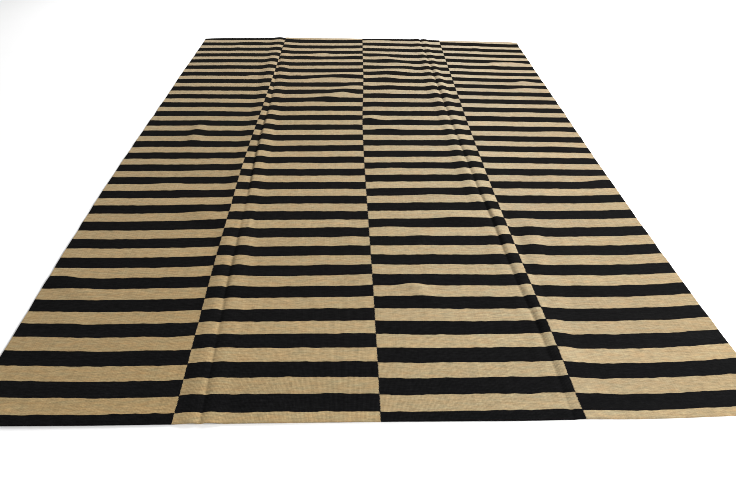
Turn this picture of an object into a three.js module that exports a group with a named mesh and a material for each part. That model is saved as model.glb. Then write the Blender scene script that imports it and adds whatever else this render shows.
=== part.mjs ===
import * as THREE from 'three';

// Flatwoven kilim rug lying on a floor: four narrow striped panels sewn side by side,
// a soft storage fold along each outer seam, a few ripples, and a hem turned under at each end.
// Millimetres, +Z up. The origin is on the floor under the middle of the rug.
// X runs across the panels, and Y along them towards the far end.

// Driving dimensions
const CLOTH = 2.5; // thickness of the woven cloth
const SEAM_GAP = 0.4; // between the edges of neighbouring panels
const HEM_DEPTH = 20; // cloth turned under at each end
const HEM_GAP = 0.6; // between the two layers of a hem
const HEM_FLAT = 2; // level run past the turned-under edge
const HEM_SLOPE = 40; // run over which the cloth comes down to the floor
const TURN_STEPS = 4; // steps round the turned edge of a hem
const ROW_COUNT = 38; // mesh rows between the two hems
const PROBE = 1; // step for slopes across the rug
const CLEAR = 0.3; // how far the cloth stands clear of the floor away from the panels' corners
const BEARING = 300; // length at each end over which a panel's corners come down to the floor

// The long lines of the rug, as distances across it. All of them bow a little to the left.
const LINES = [
  { y: -1570, left: -1179.5, seam1: -591.5, seam2: 4.5, seam3: 603.5, right: 1209 },
  { y: -1330, left: -1192, seam1: -598.5, seam2: 3.5, seam3: 600, right: 1196 },
  { y: -1000, left: -1203.5, seam1: -607.5, seam2: -0.5, seam3: 592.5, right: 1185.5 },
  { y: -600, left: -1212.5, seam1: -612, seam2: -7.5, seam3: 587.5, right: 1182 },
  { y: -250, left: -1214.5, seam1: -616, seam2: -14, seam3: 585.5, right: 1183 },
  { y: 100, left: -1210.5, seam1: -612, seam2: -16.5, seam3: 586, right: 1188 },
  { y: 330, left: -1207, seam1: -605, seam2: -14.5, seam3: 587.5, right: 1192.5 },
  { y: 600, left: -1204, seam1: -600.5, seam2: -5.5, seam3: 591.5, right: 1194.5 },
  { y: 900, left: -1203, seam1: -595, seam2: 1.5, seam3: 596, right: 1199.5 },
  { y: 1200, left: -1197, seam1: -592, seam2: 3.5, seam3: 600.5, right: 1204.5 },
  { y: 1570, left: -1190.5, seam1: -583.5, seam2: 7.5, seam3: 606.5, right: 1210 },
];

// The two ends, as distances along the rug: the near one is almost straight,
// and the far one falls away towards its right corner.
const ENDS = [
  { x: -1190, near: -1551, far: 1541 },
  { x: -1120, near: -1552, far: 1552 },
  { x: -820, near: -1555, far: 1565 },
  { x: -590, near: -1555, far: 1576 },
  { x: 0, near: -1557, far: 1581 },
  { x: 300, near: -1560, far: 1580 },
  { x: 430, near: -1561, far: 1576 },
  { x: 600, near: -1560, far: 1560 },
  { x: 800, near: -1561, far: 1549 },
  { x: 1130, near: -1554, far: 1541 },
  { x: 1215, near: -1551, far: 1528 },
];

// A storage fold is a pinched valley between two low crests. Each row gives, at a place
// along the rug, the valley's distance from its seam, then for the crest on each side its
// distance from the valley, its height, and how far its outer slope reaches.
const LEFT_FOLD = [
  { y: -1570, valley: 78, out1: 17, high1: 5, reach1: 60, out2: 26, high2: 5.5, reach2: 55 },
  { y: -1200, valley: 72, out1: 20, high1: 6, reach1: 60, out2: 24, high2: 4.5, reach2: 60 },
  { y: -1000, valley: 66, out1: 26, high1: 6.5, reach1: 60, out2: 24, high2: 7.5, reach2: 60 },
  { y: -800, valley: 64, out1: 34, high1: 7.5, reach1: 60, out2: 28, high2: 8, reach2: 62 },
  { y: -600, valley: 61, out1: 45, high1: 3.5, reach1: 70, out2: 18, high2: 3, reach2: 45 },
  { y: -400, valley: 59, out1: 60, high1: 5, reach1: 60, out2: 17, high2: 7, reach2: 70 },
  { y: -200, valley: 53, out1: 60, high1: 5, reach1: 50, out2: 12, high2: 9.5, reach2: 70 },
  { y: 0, valley: 44, out1: 50, high1: 4, reach1: 60, out2: 16, high2: 11, reach2: 70 },
  { y: 200, valley: 40, out1: 40, high1: 6, reach1: 70, out2: 13, high2: 11, reach2: 70 },
  { y: 400, valley: 34, out1: 36, high1: 6.5, reach1: 70, out2: 20, high2: 7.5, reach2: 65 },
  { y: 600, valley: 26, out1: 32, high1: 8, reach1: 75, out2: 25, high2: 5.5, reach2: 60 },
  { y: 800, valley: 17, out1: 34, high1: 8, reach1: 85, out2: 30, high2: 5, reach2: 70 },
  { y: 1000, valley: 9, out1: 48, high1: 9.5, reach1: 70, out2: 30, high2: 6, reach2: 60 },
  { y: 1200, valley: 2, out1: 38, high1: 7.5, reach1: 70, out2: 14, high2: 4.5, reach2: 80 },
  { y: 1570, valley: -9, out1: 38, high1: 5, reach1: 70, out2: 12, high2: 3.5, reach2: 80 },
];

const RIGHT_FOLD = [
  { y: -1570, valley: -32, out1: 25, high1: 0.5, reach1: 30, out2: 34, high2: 4.5, reach2: 130 },
  { y: -1200, valley: -37, out1: 25, high1: 2.5, reach1: 40, out2: 28, high2: 10, reach2: 85 },
  { y: -1000, valley: -48, out1: 30, high1: 1.5, reach1: 40, out2: 25, high2: 8.5, reach2: 60 },
  { y: -800, valley: -54, out1: 30, high1: 4, reach1: 50, out2: 22, high2: 9.5, reach2: 60 },
  { y: -600, valley: -57, out1: 30, high1: 1.5, reach1: 40, out2: 17, high2: 10.5, reach2: 60 },
  { y: -400, valley: -70, out1: 25, high1: 7, reach1: 55, out2: 18, high2: 6.5, reach2: 60 },
  { y: -200, valley: -77, out1: 28, high1: 7, reach1: 55, out2: 25, high2: 8, reach2: 55 },
  { y: 0, valley: -85, out1: 28, high1: 6, reach1: 45, out2: 17, high2: 6.5, reach2: 55 },
  { y: 200, valley: -93, out1: 30, high1: 5.5, reach1: 45, out2: 22, high2: 7, reach2: 50 },
  { y: 400, valley: -100, out1: 28, high1: 6.5, reach1: 45, out2: 22, high2: 8, reach2: 55 },
  { y: 600, valley: -109, out1: 30, high1: 8.5, reach1: 60, out2: 26, high2: 10, reach2: 50 },
  { y: 800, valley: -116, out1: 28, high1: 7, reach1: 60, out2: 27, high2: 10, reach2: 45 },
  { y: 1000, valley: -122, out1: 25, high1: 7, reach1: 55, out2: 25, high2: 8, reach2: 40 },
  { y: 1200, valley: -131, out1: 22, high1: 6, reach1: 50, out2: 28, high2: 5, reach2: 40 },
  { y: 1570, valley: -150, out1: 22, high1: 5, reach1: 60, out2: 30, high2: 5, reach2: 45 },
];

const FOLDS = [
  { seam: 'seam1', rows: LEFT_FOLD },
  { seam: 'seam3', rows: RIGHT_FOLD },
];

// The larger ripples between the folds: centre, height, half length, half width, and the
// turn of the long axis from X towards Y, in degrees.
const RIPPLES = [
  { x: -915, y: 100, high: 9, long: 190, wide: 55, turn: 90 },
  { x: -180, y: 860, high: 10, long: 260, wide: 75, turn: 6 },
  { x: -140, y: 640, high: 6, long: 190, wide: 70, turn: 37 },
  { x: 200, y: 1150, high: 7, long: 240, wide: 80, turn: -42 },
  { x: 200, y: 950, high: 9, long: 180, wide: 80, turn: 15 },
  { x: 400, y: -630, high: 9, long: 160, wide: 70, turn: -10 },
  { x: 670, y: -800, high: 8, long: 260, wide: 60, turn: 80 },
  { x: -700, y: -610, high: 8, long: 150, wide: 70, turn: -25 },
];

// The four woven panels. Mesh columns are close together where the fold runs.
const PANELS = [
  {
    name: 'panel_left_outer',
    from: 'left',
    to: 'seam1',
    foldAt: 'to',
    foldShare: 0.19,
    foldSteps: 5,
    openSteps: 6,
    colour: 0xa7936f,
  },
  {
    name: 'panel_left_inner',
    from: 'seam1',
    to: 'seam2',
    foldAt: 'from',
    foldShare: 0.25,
    foldSteps: 8,
    openSteps: 5,
    colour: 0xb49f7b,
  },
  {
    name: 'panel_right_inner',
    from: 'seam2',
    to: 'seam3',
    foldAt: 'to',
    foldShare: 0.35,
    foldSteps: 10,
    openSteps: 4,
    colour: 0xbfad8b,
  },
  {
    name: 'panel_right_outer',
    from: 'seam3',
    to: 'right',
    foldAt: 'from',
    foldShare: 0.22,
    foldSteps: 4,
    openSteps: 5,
    colour: 0xcab693,
  },
];

// One column of a table at a place between its rows, on a smooth curve through them
function readTable(rows, axis, column, at) {
  const last = rows.length - 1;
  const place = THREE.MathUtils.clamp(at, rows[0][axis], rows[last][axis]);
  let i = 0;
  while (i < last - 1 && rows[i + 1][axis] < place) {
    i += 1;
  }
  const slope = (k) => {
    const low = rows[Math.max(k - 1, 0)];
    const high = rows[Math.min(k + 1, last)];
    return (high[column] - low[column]) / (high[axis] - low[axis]);
  };
  const span = rows[i + 1][axis] - rows[i][axis];
  const t = (place - rows[i][axis]) / span;
  const ease = t * t * (3 - 2 * t);
  const level = rows[i][column] * (1 - ease) + rows[i + 1][column] * ease;
  const start = slope(i) * span * t * (1 - t) * (1 - t);
  const end = slope(i + 1) * span * t * t * (1 - t);
  return level + start - end;
}

// Falls smoothly from 1 at t = 0 to nothing at t = 1
function soft(t) {
  const rest = Math.max(0, 1 - t * t);
  return rest * rest;
}

// Falls from 1 at t = 0 to nothing at t = 1, and meets the floor at an angle
function pinched(t) {
  return Math.max(0, 1 - t * t);
}

// Height of the cloth's underside over the floor at one fold
function foldHeight(fold, x, y) {
  const read = (column) => readTable(fold.rows, 'y', column, y);
  const d = x - readTable(LINES, 'y', fold.seam, y) - read('valley');
  const side = d < 0 ? '1' : '2';
  const out = read('out' + side);
  const past = Math.abs(d) - out;
  const shape = past > 0 ? soft(past / read('reach' + side)) : pinched(past / out);
  return Math.max(0, read('high' + side)) * shape;
}

// Height of the cloth's underside over the floor at one ripple
function rippleHeight(ripple, x, y) {
  const turn = THREE.MathUtils.degToRad(ripple.turn);
  const dx = x - ripple.x;
  const dy = y - ripple.y;
  const along = (dx * Math.cos(turn) + dy * Math.sin(turn)) / ripple.long;
  const across = (dy * Math.cos(turn) - dx * Math.sin(turn)) / ripple.wide;
  return ripple.high * soft(Math.min(1, Math.abs(along))) * soft(Math.min(1, Math.abs(across)));
}

// The cloth comes down to the floor only at the corners of its panels, where the hems meet
// the panels' edges and a real rug bears hardest
function clearance(share, fromEnd) {
  const side = Math.pow(2 * share - 1, 4);
  const end = Math.max(0, 1 - fromEnd / BEARING);
  return CLEAR * (1 - side * end);
}

function lift(x, y) {
  let height = 0;
  for (const fold of FOLDS) {
    height += foldHeight(fold, x, y);
  }
  for (const ripple of RIPPLES) {
    height += rippleHeight(ripple, x, y);
  }
  return height;
}

// The mesh rows of one hem, from the turned-under edge out, round the turn and back in.
// Inset is measured from the outer face of the turn, and rise from a single layer's middle.
function hemRows(end) {
  const radius = (CLOTH + HEM_GAP) / 2;
  const centre = CLOTH / 2 + radius;
  const rows = [{ end, share: 0, inset: HEM_DEPTH, rise: 0 }];
  for (let i = 0; i <= TURN_STEPS; i += 1) {
    const angle = Math.PI * (i / TURN_STEPS - 0.5);
    const inset = centre - radius * Math.cos(angle);
    rows.push({ end, share: 0, inset, rise: radius * (1 + Math.sin(angle)) });
  }
  const level = HEM_DEPTH + HEM_FLAT;
  rows.push({ end, share: 0, inset: level, rise: 2 * radius });
  rows.push({ end, share: 0, inset: level + HEM_SLOPE / 2, rise: radius });
  rows.push({ end, share: 0, inset: level + HEM_SLOPE, rise: 0 });
  return rows;
}

// Every mesh row, in the order of the cloth from the near hem to the far one
function clothRows() {
  const near = hemRows('near');
  const far = hemRows('far').reverse();
  const inset = near[near.length - 1].inset;
  const open = [];
  for (let i = 1; i < ROW_COUNT; i += 1) {
    open.push({ end: 'open', share: i / ROW_COUNT, inset, rise: 0 });
  }
  return [...near, ...open, ...far];
}

// Place of a row along the rug, at a distance across it, and its distance from the nearer end
function rowPlace(row, x) {
  const near = readTable(ENDS, 'x', 'near', x);
  const far = readTable(ENDS, 'x', 'far', x);
  let y = THREE.MathUtils.lerp(near + row.inset, far - row.inset, row.share);
  if (row.end === 'near') {
    y = near + row.inset;
  }
  if (row.end === 'far') {
    y = far - row.inset;
  }
  return { y, fromEnd: Math.min(y - near, far - y) };
}

// Middle of the cloth's thickness, at a share of the panel's width along one row
function middle(panel, share, row) {
  let x = 0;
  let place = rowPlace(row, x);
  for (let pass = 0; pass < 3; pass += 1) {
    const from = readTable(LINES, 'y', panel.from, place.y);
    const to = readTable(LINES, 'y', panel.to, place.y);
    x = THREE.MathUtils.lerp(from, to, share);
    place = rowPlace(row, x);
  }
  const { y, fromEnd } = place;
  const slope = (lift(x + PROBE, y) - lift(x - PROBE, y)) / (2 * PROBE);
  const shift = THREE.MathUtils.lerp(SEAM_GAP / 2, -SEAM_GAP / 2, share);
  const height = lift(x, y) + clearance(share, fromEnd);
  const point = new THREE.Vector3(x + shift, y, height + CLOTH / 2 + row.rise);
  return { point, across: new THREE.Vector3(1, 0, slope) };
}

function columnShares(panel) {
  const shares = [];
  const open = 1 - panel.foldShare;
  for (let i = 0; i < panel.openSteps; i += 1) {
    shares.push((open * i) / panel.openSteps);
  }
  for (let i = 0; i <= panel.foldSteps; i += 1) {
    shares.push(open + (panel.foldShare * i) / panel.foldSteps);
  }
  return panel.foldAt === 'to' ? shares : shares.map((share) => 1 - share).reverse();
}

// One panel: its two faces half a cloth's thickness either side of the middle, joined
// all round by a narrow rim
function panelGeometry(panel, rows) {
  const shares = columnShares(panel);
  const wide = shares.length;
  const tall = rows.length;
  const grid = rows.map((row) => shares.map((share) => middle(panel, share, row)));
  const upper = [];
  const lower = [];
  for (let r = 0; r < tall; r += 1) {
    for (let c = 0; c < wide; c += 1) {
      const before = grid[Math.max(r - 1, 0)][c].point;
      const after = grid[Math.min(r + 1, tall - 1)][c].point;
      const tangent = new THREE.Vector3().subVectors(after, before);
      const normal = new THREE.Vector3().crossVectors(grid[r][c].across, tangent).normalize();
      const step = normal.multiplyScalar(CLOTH / 2);
      upper.push(...grid[r][c].point.clone().add(step).toArray());
      lower.push(...grid[r][c].point.clone().sub(step).toArray());
    }
  }
  const at = (r, c) => r * wide + c;
  const under = (r, c) => tall * wide + at(r, c);
  const index = [];
  const quad = (a, b, c, d) => index.push(a, b, c, a, c, d);
  for (let r = 0; r < tall - 1; r += 1) {
    for (let c = 0; c < wide - 1; c += 1) {
      quad(at(r, c), at(r, c + 1), at(r + 1, c + 1), at(r + 1, c));
      quad(under(r, c), under(r + 1, c), under(r + 1, c + 1), under(r, c + 1));
    }
    quad(at(r + 1, 0), under(r + 1, 0), under(r, 0), at(r, 0));
    quad(at(r + 1, wide - 1), at(r, wide - 1), under(r, wide - 1), under(r + 1, wide - 1));
  }
  for (let c = 0; c < wide - 1; c += 1) {
    quad(at(0, c + 1), at(0, c), under(0, c), under(0, c + 1));
    quad(at(tall - 1, c), at(tall - 1, c + 1), under(tall - 1, c + 1), under(tall - 1, c));
  }
  const geometry = new THREE.BufferGeometry();
  geometry.setAttribute('position', new THREE.Float32BufferAttribute([...upper, ...lower], 3));
  geometry.setIndex(index);
  geometry.computeVertexNormals();
  return geometry;
}

function buildPanel(panel, rows) {
  const wool = new THREE.MeshStandardMaterial({
    color: panel.colour,
    roughness: 0.95,
    metalness: 0,
  });
  const mesh = new THREE.Mesh(panelGeometry(panel, rows), wool);
  mesh.name = panel.name;
  return mesh;
}

const rug = new THREE.Group();
rug.name = 'kilim_rug';
const rows = clothRows();
for (const panel of PANELS) {
  rug.add(buildPanel(panel, rows));
}

export default rug;
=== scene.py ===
"""A flatwoven striped kilim rug on a pale floor: four narrow wool panels sewn side by side.

Each panel is one closed sheet of cloth, on the folds and ripples of its solid, with smaller
ripples and the cloth's own unevenness added. Tables are in millimetres, in the CAD's frame.
"""
import math

import bpy
import numpy as np
from mathutils import Matrix, Vector


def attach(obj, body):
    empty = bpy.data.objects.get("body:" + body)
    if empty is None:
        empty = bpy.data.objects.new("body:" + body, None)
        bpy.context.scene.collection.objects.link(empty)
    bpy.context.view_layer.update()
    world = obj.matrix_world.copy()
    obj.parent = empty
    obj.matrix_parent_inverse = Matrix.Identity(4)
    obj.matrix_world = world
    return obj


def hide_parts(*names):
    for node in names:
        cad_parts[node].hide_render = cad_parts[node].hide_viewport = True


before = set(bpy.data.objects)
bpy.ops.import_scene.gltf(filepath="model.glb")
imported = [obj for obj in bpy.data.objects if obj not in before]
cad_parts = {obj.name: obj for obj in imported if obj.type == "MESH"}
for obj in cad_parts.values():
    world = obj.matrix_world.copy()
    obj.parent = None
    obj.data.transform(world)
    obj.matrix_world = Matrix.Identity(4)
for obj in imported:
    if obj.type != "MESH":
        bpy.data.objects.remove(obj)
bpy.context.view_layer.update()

MM = 0.001

# Cloth and hems, as in the CAD
CLOTH = 2.5
SEAM_GAP = 0.4
HEM_DEPTH = 20
HEM_GAP = 0.6
HEM_FLAT = 2
HEM_SLOPE = 40
CLEAR = 0.3
BEARING = 300
PROBE = 1

# Mesh of one panel: steps under a hem, round its turn and down its slope, then the distance
# between rows, between columns at a fold and away from it, and the columns at a selvedge
PANEL_WIDTH = 602
UNDER_STEPS = 4
TURN_STEPS = 10
SLOPE_STEPS = 8
ROW_STEP = 5.8
FOLD_STEP = 4.4
OPEN_STEP = 15
RIM_STEPS = (0, 0.18, 0.5, 0.95, 1.5)
RIM_LEAST = 0.15
EDGE_ROUNDS = 3

# Stripes: the pitch of a row of colour, the number of rows from end to end, the place of the
# first line, and how much further the lines of a dark row stand apart than those of a pale one
STRIPE = 55.62
STRIPES = 57
FIRST_LINE = 28.5 * STRIPE + 3
STRIPE_LEAST = 0.02
DARK_WIDER_FAR = 4.2
DARK_WIDER_NEAR = 0.7
DARK_WIDER_POWER = 1.5

# How far apart the panels lie in the material: an even number of rows, and in millimetres
ROWS_APART = 100
CLOTH_APART = 700

# The cloth's own unevenness, as lumps of a width, a length and a share of the height
UNDULATION = 2.0
LUMPS = ((150, 85, 1.0), (65, 48, 0.5))

# How far a line between two rows wanders, and how far a selvedge does, free or sewn
LINE_WANDER = 2.2
LINE_LUMP = 75
SELVEDGE_WANDER = 1.6
SELVEDGE_LUMP = 60
SEAM_TOOTH = 0.8
SEAM_WANDER = 0.64
SEAM_LUMP = 13
TOOTH_REACH = 14
LATTICE = (64, 1024)

# Sewing along the seams. A stitch rises over the cloth in its middle and sinks in at its ends
STITCH_STEP = 8.2
STITCH_REACH = 2.3
STITCH_SLANT = 2.6
STITCH_MARGIN = 6
STITCH_RISE = 0.35
STITCH_SINK = 0.9
STITCH_BLUNT = 1.15
YARN = 0.55
STITCH_SIDES = 5
STITCH_STEPS = 6

# The camera of the photograph: its place, the point on the floor it aims at, its roll in
# degrees and its lens
CAMERA_PLACE = (-0.0764, -2.2118, 1.2947)
CAMERA_AIM = (-0.0121, -0.8002, 0)
CAMERA_ROLL = 1.59
CAMERA_LENS = 23.008
FILM_WIDTH = 36


def table(names, rows):
    """A table with named columns."""
    return dict(zip(names.split(), np.array(rows, float).T))


# The long lines of the rug, as distances across it, and its two ends, as distances along it
LINES = table("y left seam1 seam2 seam3 right", (
    (-1570, -1179.5, -591.5, 4.5, 603.5, 1209),
    (-1330, -1192, -598.5, 3.5, 600, 1196),
    (-1000, -1203.5, -607.5, -0.5, 592.5, 1185.5),
    (-600, -1212.5, -612, -7.5, 587.5, 1182),
    (-250, -1214.5, -616, -14, 585.5, 1183),
    (100, -1210.5, -612, -16.5, 586, 1188),
    (330, -1207, -605, -14.5, 587.5, 1192.5),
    (600, -1204, -600.5, -5.5, 591.5, 1194.5),
    (900, -1203, -595, 1.5, 596, 1199.5),
    (1200, -1197, -592, 3.5, 600.5, 1204.5),
    (1570, -1190.5, -583.5, 7.5, 606.5, 1210),
))
ENDS = table("x near far", (
    (-1190, -1551, 1541),
    (-1120, -1552, 1552),
    (-820, -1555, 1565),
    (-590, -1555, 1576),
    (0, -1557, 1581),
    (300, -1560, 1580),
    (430, -1561, 1576),
    (600, -1560, 1560),
    (800, -1561, 1549),
    (1130, -1554, 1541),
    (1215, -1551, 1528),
))

# Storage folds: a pinched valley at a distance from its seam, and a low crest on each side
FOLD_COLUMNS = "y valley out1 high1 reach1 out2 high2 reach2"
LEFT_FOLD = table(FOLD_COLUMNS, (
    (-1570, 78, 17, 5, 60, 26, 5.5, 55),
    (-1200, 72, 20, 6, 60, 24, 4.5, 60),
    (-1000, 66, 26, 6.5, 60, 24, 7.5, 60),
    (-800, 64, 34, 7.5, 60, 28, 8, 62),
    (-600, 61, 45, 3.5, 70, 18, 3, 45),
    (-400, 59, 60, 5, 60, 17, 7, 70),
    (-200, 53, 60, 5, 50, 12, 9.5, 70),
    (0, 44, 50, 4, 60, 16, 11, 70),
    (200, 40, 40, 6, 70, 13, 11, 70),
    (400, 34, 36, 6.5, 70, 20, 7.5, 65),
    (600, 26, 32, 8, 75, 25, 5.5, 60),
    (800, 17, 34, 8, 85, 30, 5, 70),
    (1000, 9, 48, 9.5, 70, 30, 6, 60),
    (1200, 2, 38, 7.5, 70, 14, 4.5, 80),
    (1570, -9, 38, 5, 70, 12, 3.5, 80),
))
RIGHT_FOLD = table(FOLD_COLUMNS, (
    (-1570, -32, 25, 0.5, 30, 34, 4.5, 130),
    (-1200, -37, 25, 2.5, 40, 28, 10, 85),
    (-1000, -48, 30, 1.5, 40, 25, 8.5, 60),
    (-800, -54, 30, 4, 50, 22, 9.5, 60),
    (-600, -57, 30, 1.5, 40, 17, 10.5, 60),
    (-400, -70, 25, 7, 55, 18, 6.5, 60),
    (-200, -77, 28, 7, 55, 25, 8, 55),
    (0, -85, 28, 6, 45, 17, 6.5, 55),
    (200, -93, 30, 5.5, 45, 22, 7, 50),
    (400, -100, 28, 6.5, 45, 22, 8, 55),
    (600, -109, 30, 8.5, 60, 26, 10, 50),
    (800, -116, 28, 7, 60, 27, 10, 45),
    (1000, -122, 25, 7, 55, 25, 8, 40),
    (1200, -131, 22, 6, 50, 28, 5, 40),
    (1570, -150, 22, 5, 60, 30, 5, 45),
))
FOLDS = {"seam1": LEFT_FOLD, "seam3": RIGHT_FOLD}

# Ripples: centre, height, half length, half width, turn of the long axis from X towards Y.
# The first eight are also in the CAD.
RIPPLES = table("x y high long wide turn", (
    (-915, 100, 9, 190, 55, 90),
    (-180, 860, 10, 260, 75, 6),
    (-140, 640, 6, 190, 70, 37),
    (200, 1150, 7, 240, 80, -42),
    (200, 950, 9, 180, 80, 15),
    (400, -630, 9, 160, 70, -10),
    (670, -800, 8, 260, 60, 80),
    (-700, -610, 8, 150, 70, -25),
    (-910, 1410, 3, 110, 45, 80),
    (-830, 1470, 3, 110, 45, 0),
    (-930, -380, 3.5, 120, 50, 20),
    (-850, -420, 3, 120, 50, -10),
    (-780, -250, 3.5, 130, 50, 10),
    (-1100, -1020, 6, 150, 60, -20),
    (-280, 1290, 5, 120, 50, 5),
    (-420, 1220, 4, 110, 50, 0),
    (-50, 1200, 5, 110, 50, 10),
    (-60, 700, 4, 100, 50, 10),
    (-350, -180, 3.5, 120, 50, 0),
    (-170, -700, 4, 130, 55, 15),
    (-50, -960, 5, 130, 55, 10),
    (150, 630, 5, 130, 50, 10),
    (180, 710, 4, 120, 45, -10),
    (30, 290, 5, 90, 50, 30),
    (250, 270, 4, 120, 50, 0),
    (150, 170, 4, 120, 50, 5),
    (120, -230, 5, 120, 55, 10),
    (300, -450, 5, 130, 55, 0),
    (90, -680, 5, 120, 55, 10),
    (150, -1030, 5, 130, 60, 20),
    (860, 1390, 4, 110, 45, 85),
    (920, 1075, 4, 120, 50, 75),
    (1050, 800, 3, 120, 50, 30),
    (950, 370, 3, 130, 50, 0),
    (1030, -50, 4, 130, 50, -10),
    (-510, -650, 3, 130, 14, 88),
    (160, -1043, 7, 130, 50, 126),
    (205, -760, 4, 90, 60, 80),
    (810, -960, 3, 260, 85, 86),
    (655, -630, 4, 70, 50, 80),
    (662, -1130, 4, 170, 55, 84),
    (-305, -700, 3, 100, 55, 80),
    (-85, -760, 4, 110, 60, 95),
    (-150, -640, 3, 90, 45, 70),
    (-200, -880, 3, 100, 50, 100),
))

# The four panels, from left to right: their edges, the first row of the darker wool, and the
# columns between their selvedges, as where they start, where they end, and their step
PANELS = (
    {
        "name": "panel_left_outer",
        "from": "left",
        "to": "seam1",
        "dark": 0,
        "columns": ((5, 430, OPEN_STEP), (430, 598, FOLD_STEP)),
    },
    {
        "name": "panel_left_inner",
        "from": "seam1",
        "to": "seam2",
        "dark": 1,
        "columns": ((5, 175, FOLD_STEP), (175, 598, OPEN_STEP)),
    },
    {
        "name": "panel_right_inner",
        "from": "seam2",
        "to": "seam3",
        "dark": 0,
        "columns": ((5, 380, OPEN_STEP), (380, 598, FOLD_STEP)),
    },
    {
        "name": "panel_right_outer",
        "from": "seam3",
        "to": "right",
        "dark": 1,
        "columns": ((5, 150, FOLD_STEP), (150, 598, OPEN_STEP)),
    },
)

# How far each line between two rows is woven off its even place, at the left edge, the middle
# and the right edge of a panel. Lines are counted from the far end.
DRIFT_COLUMNS = "line left mid right"
DRIFTS = (
    table(DRIFT_COLUMNS, (
        (1, -18, -8, 5),
        (6, -17, -2, 3),
        (10, -11, 0, 2),
        (14, -12, -6, -6),
        (18, -13, -10, -13),
        (22, -14, -10, -14),
        (26, -18, -14, -14),
        (30, -22, -18, -16),
        (34, -19, -16, -11),
        (38, -15, -12, -5),
        (42, -13, -13, -3),
        (46, -7, -10, -1),
        (50, 6, -3, 5),
        (53, 9, 0, 2),
        (57, 10, 4, 6),
    )),
    table(DRIFT_COLUMNS, (
        (1, 11, 4, 15),
        (5, 6, 4, 20),
        (9, 6, 15, 23),
        (13, 6, 5, 21),
        (17, 0, 14, 18),
        (21, -4, 6, 9),
        (25, -5, 2, 7),
        (30, -10, -2, 6),
        (34, -6, 0, 2),
        (38, -5, 2, -2),
        (42, -5, -4, -1),
        (46, -3, -2, 2),
        (50, 2, 4, 6),
        (54, 7, 9, 5),
        (57, 3, 1, 0),
    )),
    table(DRIFT_COLUMNS, (
        (1, 17, 9, -10),
        (5, 22, 6, -13),
        (8, 22, 4, -10),
        (12, 24, 15, -2),
        (15, 28, 20, 8),
        (20, 11, 12, 10),
        (25, 4, 5, 7),
        (30, 4, 6, 8),
        (34, 5, 9, 10),
        (38, 3, 8, 9),
        (42, 0, 1, 0),
        (46, 4, 1, -1),
        (50, 3, -1, -4),
        (54, 1, -1, 0),
        (57, -2, -4, -3),
    )),
    table(DRIFT_COLUMNS, (
        (1, -14, -30, -44),
        (6, -6, -27, -42),
        (10, -7, -26, -35),
        (14, 5, -13, -21),
        (18, 12, -1, -7),
        (22, 9, 0, -6),
        (26, 1, -6, -12),
        (30, 6, -2, -10),
        (36, 10, 5, 12),
        (40, 4, 0, 9),
        (44, -2, -7, 4),
        (50, -3, -6, 11),
        (53, -6, -11, 5),
        (57, -7, -5, 10),
    )),
)

# Single lines that swerve: panel, line, middle and half width across the panel, and how far
SWERVES = table("panel line at half far", (
    (0, 13, 0.8, 0.1, 12),
    (0, 46, 0.05, 0.15, 10),
    (1, 6, 0.5, 0.15, 9),
    (1, 11, 0.05, 0.15, 10),
    (1, 14, 0.62, 0.38, 15),
    (1, 16, 0.5, 0.8, -8),
    (1, 18, 0.8, 0.15, 17),
    (1, 19, 0.62, 0.15, 15),
    (1, 20, 0.05, 0.2, -10),
    (1, 20, 0.5, 0.2, 8),
    (2, 11, 0.5, 0.15, 4),
    (2, 13, 0.33, 0.25, 8),
    (2, 14, 0.25, 0.2, 20),
    (2, 24, 0.05, 0.15, 15),
    (2, 26, 0.2, 0.15, 9),
    (3, 8, 0.75, 0.32, 28),
    (3, 14, 0.8, 0.15, 14),
    (3, 16, 0.8, 0.3, 18),
    (3, 26, 0.8, 0.2, 10),
    (3, 35, 0.95, 0.2, 14),
))

# Colours, as linear light. The pale wool of each panel at its far and near ends, and how much
# of that it gains from the panel's left edge to its right. Besides the wool's own tone these hold
# painted light: each panel's brightness makes up for light that the lamps don't give, and the
# gain across a panel holds painted light and shade of the folds
PALE_WOOL_AND_LIGHT = (
    {"far": (0.325, 0.261, 0.171), "near": (0.321, 0.232, 0.115), "gain_with_light": (0.03, 0.02, 0.00)},
    {"far": (0.339, 0.271, 0.179), "near": (0.346, 0.258, 0.136), "gain_with_light": (0.06, 0.10, 0.16)},
    {"far": (0.346, 0.289, 0.201), "near": (0.370, 0.288, 0.166), "gain_with_light": (0.05, 0.09, 0.16)},
    {"far": (0.340, 0.280, 0.200), "near": (0.358, 0.277, 0.160), "gain_with_light": (-0.10, -0.14, -0.21)},
)
DARK_WOOL = {"far": (0.0047, 0.0039, 0.0026), "near": (0.0052, 0.0052, 0.0055)}
SEWING = (0.030, 0.027, 0.024)
FLOOR = (0.93, 0.93, 0.93)
MOTTLE_LEAST = 0.97

# The weave: the pitch of the warps' ribs and of the wefts' grains, how full they are, and how
# much of the wool's tone they take away between them, as painted shade
WARP = 3.8
WEFT = 2.6
FULLNESS = 0.6
GRAIN_SHADE = 0.22
GRAIN_SHADE_LEAST = 0.84
DARK_CONTRAST = 2.0

# Patches of the wool: how wide and how long they are, how much finer detail they have and how
# rough it is. In its tone, the last number says how much the tone changes.
TONES = {
    "blotch": (160, 22, 3.0, 0.5, 0.30),
    "streak": (26, 6, 2.0, 0.5, 0.84),
    "heather": (9, 4, 3.0, 0.6, 0.60),
    "strand": (4.6, 90, 1.0, 0.5, 0.30),
}
BATCH = 0.09
TINT_PATCH = (60, 12, 3.0, 0.6)
PINKISH = (1.16, 0.955, 0.80, 1)
GREENISH = (0.86, 1.04, 1.16, 1)

# How far a line between two rows strays, as shares of a row, in short and in long steps
RAGGED = 0.010
RAGGED_PATCH = (8, 25)
LOOSE = 0.12
LOOSE_PATCH = (40, 30, 1.0)

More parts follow.
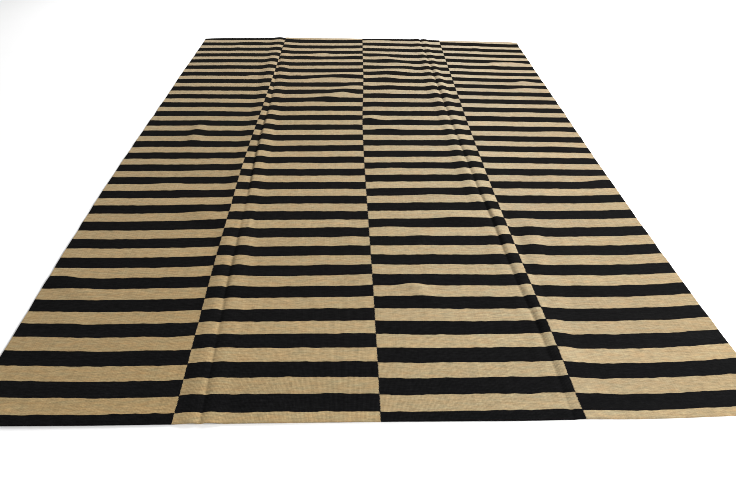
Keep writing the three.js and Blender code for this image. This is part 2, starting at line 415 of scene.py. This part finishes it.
# Relief of the wool, beside the weave's own: its fuzz and its streaks, and the weave's depth
FUZZ = 0.5
FUZZ_PATCH = (1.4, 1.1, 3.0, 0.7)
STREAK_RELIEF = 0.6
RELIEF_STRENGTH = 0.7
RELIEF_DEPTH = 0.0005

# The studio, in metres and watts. Each lamp: its place, the point it aims at, size and power
FLOOR_RADIUS = 14
SURROUND = 0.36
LAMPS = {
    "window": ((4.0, 1.6, 2.6), (0.3, 0, 0), 1.6, 264),
    "far_lamp": ((-0.6, 3.6, 2.4), (-0.3, 0.6, 0), 1.2, 117),
    "near_lamp": ((3.4, -2.2, 2.2), (0.6, -0.8, 0), 1.6, 255),
}
PIXEL_FILTER = 0.9


def ease(t):
    """Rises smoothly from nothing at t = 0 to 1 at t = 1."""
    return t * t * (3 - 2 * t)


def soft(t):
    """Falls smoothly from 1 at t = 0 to nothing at t = 1."""
    return np.clip(1 - t * t, 0, 1) ** 2


def read(columns, axis, name, at):
    """One column of a table at places between its rows, on a smooth curve through them."""
    place = columns[axis]
    value = columns[name]
    slope = np.empty_like(value)
    slope[1:-1] = (value[2:] - value[:-2]) / (place[2:] - place[:-2])
    slope[0] = (value[1] - value[0]) / (place[1] - place[0])
    slope[-1] = (value[-1] - value[-2]) / (place[-1] - place[-2])
    at = np.clip(at, place[0], place[-1])
    i = np.clip(np.searchsorted(place, at) - 1, 0, len(place) - 2)
    span = place[i + 1] - place[i]
    t = (at - place[i]) / span
    level = value[i] * (1 - ease(t)) + value[i + 1] * ease(t)
    start = slope[i] * span * t * (1 - t) ** 2
    end = slope[i + 1] * span * t * t * (1 - t)
    return level + start - end


def wander(x, y, size_x, size_y, seed):
    """Smooth random values from -1 to 1, in lumps of the given size."""
    lattice = np.random.default_rng(seed).uniform(-1, 1, LATTICE)
    across = np.asarray(x) / size_x
    along = np.asarray(y) / size_y
    i = np.floor(across).astype(int)
    j = np.floor(along).astype(int)
    s = ease(across - i)
    t = ease(along - j)

    def knot(right, up):
        return lattice[(i + right) % LATTICE[0], (j + up) % LATTICE[1]]

    low = knot(0, 0) * (1 - s) + knot(1, 0) * s
    high = knot(0, 1) * (1 - s) + knot(1, 1) * s
    return low * (1 - t) + high * t


def fold_height(seam, x, y):
    """Height of the cloth's underside over the floor at one fold."""
    fold = FOLDS[seam]
    d = x - read(LINES, "y", seam, y) - read(fold, "y", "valley", y)
    height = np.zeros_like(d)
    for side, here in (("1", d < 0), ("2", d >= 0)):
        out = read(fold, "y", "out" + side, y)
        past = np.abs(d) - out
        outer = soft(past / read(fold, "y", "reach" + side, y))
        inner = 1 - (past / out) ** 2
        high = np.maximum(0, read(fold, "y", "high" + side, y))
        height = np.where(here, high * np.where(past > 0, outer, inner), height)
    return np.maximum(0, height)


def ripple_height(x, y):
    """Height of the cloth's underside over the floor at all the ripples."""
    height = np.zeros_like(x)
    for cx, cy, high, half_long, half_wide, turn in zip(*RIPPLES.values()):
        cos = math.cos(math.radians(turn))
        sin = math.sin(math.radians(turn))
        along = ((x - cx) * cos + (y - cy) * sin) / half_long
        across = ((y - cy) * cos - (x - cx) * sin) / half_wide
        height += high * soft(along) * soft(across)
    return height


def lift(x, y):
    """Height of the cloth's underside over the floor."""
    height = fold_height("seam1", x, y) + fold_height("seam3", x, y) + ripple_height(x, y)
    uneven = 0
    most = 0
    for seed, (wide, long, share) in enumerate(LUMPS, start=1):
        uneven = uneven + share * wander(x, y, wide, long, seed)
        most += share
    return height + UNDULATION * (uneven + most) / (2 * most)


def clearance(share, from_end):
    """The hair's breadth between the cloth and the floor, down to nothing at the corners."""
    return CLEAR * (1 - (2 * share - 1) ** 4 * np.clip(1 - from_end / BEARING, 0, 1))


def hem_rows():
    """Inset from the end and rise of the rows of one hem, from its turned-under edge inwards."""
    radius = (CLOTH + HEM_GAP) / 2
    centre = CLOTH / 2 + radius
    turn = np.pi * (np.arange(TURN_STEPS + 1) / TURN_STEPS - 0.5)
    fall = np.arange(SLOPE_STEPS + 1) / SLOPE_STEPS
    under = np.linspace(HEM_DEPTH, centre, UNDER_STEPS + 1)[:-1]
    inset = [*under, *(centre - radius * np.cos(turn)), *(HEM_DEPTH + HEM_FLAT + HEM_SLOPE * fall)]
    rise = [*(0 * under), *(radius * (1 + np.sin(turn))), *(2 * radius * (1 - ease(fall)))]
    return np.array(inset), np.array(rise)


def cloth_rows():
    """Every row: its share of the way from the near end to the far one, its inset and rise."""
    inset, rise = hem_rows()
    count = round(2 * (FIRST_LINE - inset[-1]) / ROW_STEP)
    share = np.arange(1, count) / count
    open_inset = inset[-1] * (1 - 2 * share)
    return {
        "share": np.concatenate([0 * inset, share, 0 * inset + 1]),
        "inset": np.concatenate([inset, open_inset, -inset[::-1]]),
        "rise": np.concatenate([rise, 0 * share, rise[::-1]]),
    }


def column_shares(panel):
    """Columns across a panel, close together at its edges and where a fold runs."""
    rim = np.array(RIM_STEPS) / PANEL_WIDTH
    inner = [np.arange(*span) / PANEL_WIDTH for span in panel["columns"]]
    return np.concatenate([rim, *inner, 1 - rim[::-1]])


def tooth(seam, y):
    """How far a seam's edge is pulled aside by its stitches, in turn to the left and right."""
    seed = 10 + list(LINES).index(seam)
    if seam in ("left", "right"):
        return SELVEDGE_WANDER * wander(0 * y, y, 1, SELVEDGE_LUMP, seed)
    beat = np.cos(2 * np.pi * y / STITCH_STEP)
    return SEAM_TOOTH * beat + SEAM_WANDER * wander(0 * y, y, 1, SEAM_LUMP, seed)


def panel_points(panel, share, rows):
    """Middle of the cloth's thickness at each row and column, and the slope across."""
    x = np.zeros((len(rows["inset"]), len(share)))
    for _ in range(EDGE_ROUNDS):
        near = read(ENDS, "x", "near", x)
        far = read(ENDS, "x", "far", x)
        y = near + (far - near) * rows["share"][:, None] + rows["inset"][:, None]
        left = read(LINES, "y", panel["from"], y)
        right = read(LINES, "y", panel["to"], y)
        x = left + (right - left) * share
    from_end = np.minimum(y - near, far - y)
    slope = (lift(x + PROBE, y) - lift(x - PROBE, y)) / (2 * PROBE)
    z = lift(x, y) + clearance(share, from_end) + CLOTH / 2 + rows["rise"][:, None]
    x = x + SEAM_GAP * (0.5 - share)
    x = x + tooth(panel["from"], y) * soft((x - left) / TOOTH_REACH)
    x = x + tooth(panel["to"], y) * soft((right - x) / TOOTH_REACH)
    return np.stack([x, y, z], axis=-1), slope


def half_thickness(points):
    """Half the cloth's thickness in each column, rounded off towards the selvedges."""
    across = points[len(points) // 2, :, 0]
    inside = np.minimum(across - across[0], across[-1] - across)
    radius = CLOTH / 2
    round_off = np.sqrt(np.clip(1 - (1 - inside / radius) ** 2, 0, 1))
    full = np.where(inside < radius, round_off, 1)
    return np.maximum(RIM_LEAST, radius * full)


def line_places(number, share):
    """Where each line between two rows lies along a panel, in each column."""
    line = np.arange(STRIPES + 1)[:, None]
    left, mid, right = (read(DRIFTS[number], "line", key, line) for key in ("left", "mid", "right"))
    off = left * (1 - share) * (1 - 2 * share) + 4 * mid * share * (1 - share)
    off = off + right * share * (2 * share - 1)
    off = off + LINE_WANDER * wander(share * PANEL_WIDTH, line + 0.5, LINE_LUMP, 1, 20 + number)
    wider = DARK_WIDER_NEAR + DARK_WIDER_FAR * (1 - line / STRIPES) ** DARK_WIDER_POWER
    off = off + np.where(line % 2 == PANELS[number]["dark"], wider, -wider)
    for which, at_line, at, half, far in zip(*SWERVES.values()):
        if which == number:
            off[int(at_line)] += far * soft((share - at) / half)
    return FIRST_LINE - line * STRIPE + off


def stripe_places(number, share, y):
    """Stripe coordinate: whole at each line between two rows, from 0 at the far end."""
    place = line_places(number, share)
    line = np.arange(STRIPES + 1)
    stripe = np.empty_like(y)
    for column in range(len(share)):
        stripe[:, column] = np.interp(y[:, column], place[::-1, column], line[::-1])
    return np.clip(stripe, STRIPE_LEAST, STRIPES - STRIPE_LEAST)


def pale_tones_with_light(wool, share, y):
    """The pale wool's colour at each point of a panel: its own tone with painted light in it."""
    near = np.clip(0.5 - y / (STRIPES * STRIPE), 0, 1)[:, :, None]
    tone_and_shade = np.array(wool["far"]) * (1 - near) + np.array(wool["near"]) * near
    tone_and_shade = tone_and_shade * (1 + np.array(wool["gain_with_light"]) * (share[None, :, None] - 0.5))
    return np.concatenate([tone_and_shade, np.ones_like(near)], axis=-1)


def flat_y(points):
    """Distance along the unturned cloth: as y, but running on past the turn of each hem."""
    y = points[:, :, 1].copy()
    turn = UNDER_STEPS + TURN_STEPS // 2
    for end, step in ((turn, -1), (len(y) - 1 - turn, 1)):
        last = 0 if step < 0 else len(y) - 1
        for r in range(end + step, last + step, step):
            y[r] = y[r - step] + step * np.linalg.norm(points[r] - points[r - step], axis=1)
    return y


def grid_faces(tall, wide):
    """Faces of a closed sheet: two grids of points, upper then lower, and the rim between."""
    at = np.arange(tall * wide).reshape(tall, wide)
    under = at + tall * wide

    def quads(a, b, c, d):
        return np.stack([q.ravel() for q in (a, b, c, d)], axis=1)

    return np.concatenate([
        quads(at[:-1, :-1], at[:-1, 1:], at[1:, 1:], at[1:, :-1]),
        quads(under[:-1, :-1], under[1:, :-1], under[1:, 1:], under[:-1, 1:]),
        quads(at[1:, 0], under[1:, 0], under[:-1, 0], at[:-1, 0]),
        quads(at[1:, -1], at[:-1, -1], under[:-1, -1], under[1:, -1]),
        quads(at[0, 1:], at[0, :-1], under[0, :-1], under[0, 1:]),
        quads(at[-1, :-1], at[-1, 1:], under[-1, 1:], under[-1, :-1]),
    ])


def make_object(name, points, faces, material):
    """A smooth mesh object from an array of points in millimetres and a list of faces."""
    mesh = bpy.data.meshes.new(name)
    mesh.from_pydata((points * MM).tolist(), [], faces)
    mesh.polygons.foreach_set("use_smooth", np.ones(len(mesh.polygons), bool))
    mesh.materials.append(material)
    mesh.update()
    piece = bpy.data.objects.new(name, mesh)
    bpy.context.collection.objects.link(piece)
    return piece


def add_attribute(piece, name, kind, field, values):
    """A value for each point of a sheet's upper and lower grids, read by its material."""
    attribute = piece.data.attributes.new(name, kind, "POINT")
    both = np.concatenate([values, values])
    attribute.data.foreach_set(field, np.ascontiguousarray(both, np.float32).ravel())


def both_faces(points, slope):
    """The upper and the lower face of a sheet, half its thickness from its middle."""
    tangent = np.empty_like(points)
    tangent[1:-1] = points[2:] - points[:-2]
    tangent[0] = points[1] - points[0]
    tangent[-1] = points[-1] - points[-2]
    across = np.stack([np.ones_like(slope), np.zeros_like(slope), slope], axis=-1)
    normal = np.cross(across, tangent)
    normal /= np.linalg.norm(normal, axis=-1, keepdims=True)
    step = normal * half_thickness(points)[:, None]
    return np.concatenate([points + step, points - step]).reshape(-1, 3)


def make_panel(number, rows, material):
    """One woven panel as a closed sheet with hems turned under at both ends."""
    panel = PANELS[number]
    share = column_shares(panel)
    points, slope = panel_points(panel, share, rows)
    faces = grid_faces(*slope.shape).tolist()
    piece = make_object("wool_" + panel["name"], both_faces(points, slope), faces, material)
    y = flat_y(points)
    stripe = stripe_places(number, share, y) + ROWS_APART * number + panel["dark"]
    cloth = np.stack([share * PANEL_WIDTH + CLOTH_APART * number + 0 * y, y, 0 * y], axis=-1)
    # The pale wool's colour, its own tone with painted light in it
    pale = pale_tones_with_light(PALE_WOOL_AND_LIGHT[number], share, y)
    add_attribute(piece, "stripe", "FLOAT", "value", stripe)
    add_attribute(piece, "cloth", "FLOAT_VECTOR", "vector", cloth)
    add_attribute(piece, "pale", "FLOAT_COLOR", "color", pale)
    flat = (PANEL_WIDTH * MM, float(np.mean(y[-1] - y[0])) * MM)
    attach(piece, "root")
    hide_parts(panel["name"])
    return piece, flat


def make_stitches(seam, material):
    """Slanting stitches of dark yarn over one seam, joined in one mesh."""
    near = read(ENDS, "x", "near", LINES[seam][0])
    far = read(ENDS, "x", "far", LINES[seam][-1])
    inset, rise = hem_rows()
    places = np.arange(near + STITCH_MARGIN, far - STITCH_MARGIN, STITCH_STEP)
    t = np.linspace(-1, 1, STITCH_STEPS)
    y = places[:, None] + STITCH_SLANT * t
    x = read(LINES, "y", seam, y) + tooth(seam, y) + STITCH_REACH * t
    from_end = np.minimum(y - near, far - y)
    hem = np.interp(from_end, inset[-SLOPE_STEPS - 1:], rise[-SLOPE_STEPS - 1:])
    arch = STITCH_RISE - STITCH_SINK * t ** 4
    z = lift(x, y) + clearance(1, from_end) + CLOTH + hem + arch
    centre = np.stack([x, y, z], axis=-1)
    forward = np.gradient(centre, axis=1)
    forward /= np.linalg.norm(forward, axis=-1, keepdims=True)
    side = np.cross(forward, (0, 0, 1))
    side /= np.linalg.norm(side, axis=-1, keepdims=True)
    up = np.cross(side, forward)
    angle = 2 * np.pi * np.arange(STITCH_SIDES) / STITCH_SIDES
    radius = YARN * np.sqrt(STITCH_BLUNT - t ** 2)[:, None]
    ring = [centre + radius * (np.cos(a) * side + np.sin(a) * up) for a in angle]
    points = np.stack(ring, axis=2).reshape(-1, 3)
    piece = make_object("stitches_" + seam, points, stitch_faces(len(places)), material)
    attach(piece, "root")


def stitch_faces(count):
    """Faces of many short closed tubes with the same number of steps and sides."""
    faces = []
    size = STITCH_STEPS * STITCH_SIDES
    for s in range(count):
        base = s * size
        for step in range(STITCH_STEPS - 1):
            for k in range(STITCH_SIDES):
                a = base + step * STITCH_SIDES + k
                b = base + step * STITCH_SIDES + (k + 1) % STITCH_SIDES
                faces.append((a, a + STITCH_SIDES, b + STITCH_SIDES, b))
        faces.append(tuple(base + k for k in range(STITCH_SIDES)))
        faces.append(tuple(base + size - 1 - k for k in range(STITCH_SIDES)))
    return faces


class Nodes:
    """Short calls for building a material's node tree."""

    def __init__(self, name):
        self.material = bpy.data.materials.new(name)
        self.material.use_nodes = True
        self.tree = self.material.node_tree
        self.shader = self.tree.nodes["Principled BSDF"]

    def add(self, kind, inputs=(), **settings):
        """A node with its settings made and its inputs linked or set. Returns the node."""
        node = self.tree.nodes.new(kind)
        for key, value in settings.items():
            setattr(node, key, value)
        for key, value in dict(inputs).items():
            self.join(value, node.inputs[key])
        return node

    def join(self, value, socket):
        """Links an output to a socket, or sets the socket to a plain value."""
        if isinstance(value, bpy.types.NodeSocket):
            self.tree.links.new(value, socket)
        else:
            socket.default_value = value

    def math(self, operation, *values):
        """The output of a Math node."""
        return self.add("ShaderNodeMath", enumerate(values), operation=operation).outputs[0]

    def noise(self, vector, scale, detail=2.0, rough=0.5):
        """A noise texture's value."""
        scaled = self.add("ShaderNodeVectorMath", {0: vector, 1: scale}, operation="MULTIPLY")
        inputs = {"Vector": scaled.outputs[0], "Scale": 1.0, "Detail": detail, "Roughness": rough}
        return self.add("ShaderNodeTexNoise", inputs).outputs["Fac"]

    def patches(self, cloth, wide, long, detail=2.0, rough=0.5):
        """Uneven patches on the cloth, of a size in millimetres."""
        return self.noise(cloth, (1 / wide, 1 / long, 1), detail, rough)

    def mix(self, factor, first, second, blend="MIX"):
        """A colour mix. Its colour sockets share their names with others and go by number."""
        node = self.add("ShaderNodeMix", data_type="RGBA", blend_type=blend)
        self.join(factor, node.inputs["Factor"])
        self.join(first, node.inputs[6])
        self.join(second, node.inputs[7])
        return node.outputs[2]

    def vary(self, tone_and_shade, value, amount):
        """A tone raised and lowered by a value from 0 to 1, round its middle."""
        factor = self.math("MULTIPLY_ADD", value, amount, 1 - amount / 2)
        return self.math("MULTIPLY", tone_and_shade, factor)

    def attribute(self, name, output):
        """An attribute of the mesh."""
        return self.add("ShaderNodeAttribute", attribute_name=name).outputs[output]


def weave_grain(n, x, y):
    """The grains of a weft-faced weave, 1 at their tops: every second rib is half a pick on."""
    rib = n.math("DIVIDE", x, WARP)
    odd = n.math("MODULO", n.math("FLOOR", rib), 2.0)
    pick = n.math("ADD", n.math("DIVIDE", y, WEFT), n.math("MULTIPLY", odd, 0.5))
    across = n.math("SINE", n.math("MULTIPLY", n.math("FRACT", rib), math.pi))
    along = n.math("SINE", n.math("MULTIPLY", n.math("FRACT", pick), math.pi))
    return n.math("MULTIPLY", n.math("POWER", across, FULLNESS), n.math("POWER", along, FULLNESS))


def wool_material():
    """Two wools in stripes, as the stripe attribute says, with a weft-faced weave."""
    n = Nodes("striped_wool")
    cloth = n.attribute("cloth", "Vector")
    stripe = n.attribute("stripe", "Fac")
    # The pale wool's colour, with painted light in it
    pale = n.attribute("pale", "Color")

    ragged = n.patches(cloth, *RAGGED_PATCH)
    loose = n.patches(cloth, *LOOSE_PATCH)
    shift = n.math("ADD", n.math("MULTIPLY", ragged, RAGGED), n.math("MULTIPLY", loose, LOOSE))
    middle = (RAGGED + LOOSE) / 2
    row = n.math("FLOOR", n.math("ADD", stripe, n.math("SUBTRACT", shift, middle)))
    is_pale = n.math("MODULO", row, 2.0)

    x, y, _ = n.add("ShaderNodeSeparateXYZ", {0: cloth}).outputs
    grain = weave_grain(n, x, y)
    batch = n.add("ShaderNodeTexWhiteNoise", {"W": row}, noise_dimensions="1D").outputs["Value"]
    # Painted shade: the wool is darker in the gaps between the weave's grains and a little lighter
    # on their tops
    tone_and_shade = n.vary(n.math("MULTIPLY_ADD", grain, GRAIN_SHADE, GRAIN_SHADE_LEAST), batch, BATCH)
    patches = {}
    for name, (wide, long, detail, rough, amount) in TONES.items():
        patches[name] = n.patches(cloth, wide, long, detail, rough)
        tone_and_shade = n.vary(tone_and_shade, patches[name], amount)

    tint = n.mix(n.patches(cloth, *TINT_PATCH), PINKISH, GREENISH)
    pale_toned = n.mix(1.0, n.mix(1.0, pale, tint, "MULTIPLY"), tone_and_shade, "MULTIPLY")
    nearness = n.math("SUBTRACT", 0.5, n.math("DIVIDE", y, STRIPES * STRIPE))
    dark = n.mix(nearness, (*DARK_WOOL["far"], 1), (*DARK_WOOL["near"], 1))
    dark_toned = n.mix(1.0, dark, n.math("POWER", tone_and_shade, DARK_CONTRAST), "MULTIPLY")
    n.join(n.mix(is_pale, dark_toned, pale_toned), n.shader.inputs["Base Color"])

    fuzz = n.patches(cloth, *FUZZ_PATCH)
    height = n.math("ADD", grain, n.math("MULTIPLY", fuzz, FUZZ))
    height = n.math("ADD", height, n.math("MULTIPLY", patches["streak"], STREAK_RELIEF))
    relief = {"Strength": RELIEF_STRENGTH, "Distance": RELIEF_DEPTH, "Height": height}
    n.join(n.add("ShaderNodeBump", relief).outputs[0], n.shader.inputs["Normal"])
    n.shader.inputs["Roughness"].default_value = 0.92
    n.shader.inputs["Specular IOR Level"].default_value = 0.03
    n.shader.inputs["Diffuse Roughness"].default_value = 0.6
    return n.material


def plain_material(name, colour, grain):
    """A matt material with a little mottling, of so many patches to the metre."""
    n = Nodes(name)
    place = n.add("ShaderNodeTexCoord").outputs["Object"]
    mottle = n.noise(place, (grain, grain, grain))
    low = tuple(MOTTLE_LEAST * c for c in colour)
    n.join(n.mix(mottle, (*low, 1), (*colour, 1)), n.shader.inputs["Base Color"])
    n.shader.inputs["Roughness"].default_value = 0.9
    n.shader.inputs["Specular IOR Level"].default_value = 0.08
    return n.material


def aimed(place, aim):
    """The matrix of a camera or lamp at a place, turned to look at a point."""
    place = Vector(place)
    turn = (Vector(aim) - place).to_track_quat("-Z", "Y").to_matrix().to_4x4()
    return Matrix.Translation(place) @ turn


def make_camera():
    """The camera where the photograph was taken from."""
    data = bpy.data.cameras.new("camera")
    data.sensor_width = FILM_WIDTH
    data.lens = CAMERA_LENS
    camera = bpy.data.objects.new("camera", data)
    bpy.context.collection.objects.link(camera)
    roll = Matrix.Rotation(math.radians(CAMERA_ROLL), 4, "Z")
    camera.matrix_world = aimed(CAMERA_PLACE, CAMERA_AIM) @ roll
    bpy.context.scene.camera = camera


def make_light(name, place, aim, size, power):
    """A square soft light aimed at a point."""
    data = bpy.data.lights.new(name, "AREA")
    data.size = size
    data.energy = power
    light = bpy.data.objects.new(name, data)
    bpy.context.collection.objects.link(light)
    light.matrix_world = aimed(place, aim)


def make_studio():
    """A pale floor, three soft lamps, the strongest on the right, and an even surround."""
    bpy.ops.mesh.primitive_circle_add(vertices=96, radius=FLOOR_RADIUS, fill_type="NGON")
    floor = bpy.context.object
    floor.name = "floor"
    floor.data.materials.append(plain_material("floor_paint", FLOOR, 3))
    world = bpy.data.worlds.new("studio")
    world.use_nodes = True
    background = world.node_tree.nodes["Background"]
    background.inputs["Color"].default_value = (1, 1, 1, 1)
    background.inputs["Strength"].default_value = SURROUND
    bpy.context.scene.world = world
    for name, (place, aim, size, power) in LAMPS.items():
        make_light(name, place, aim, size, power)
    bpy.context.scene.view_settings.view_transform = "Standard"
    bpy.context.scene.cycles.filter_width = PIXEL_FILTER


make_camera()
make_studio()
wool = wool_material()
thread = plain_material("sewing_yarn", SEWING, 400)
all_rows = cloth_rows()
sheets = [make_panel(number, all_rows, wool) for number in range(len(PANELS))]
for seam in ("seam1", "seam2", "seam3"):
    make_stitches(seam, thread)
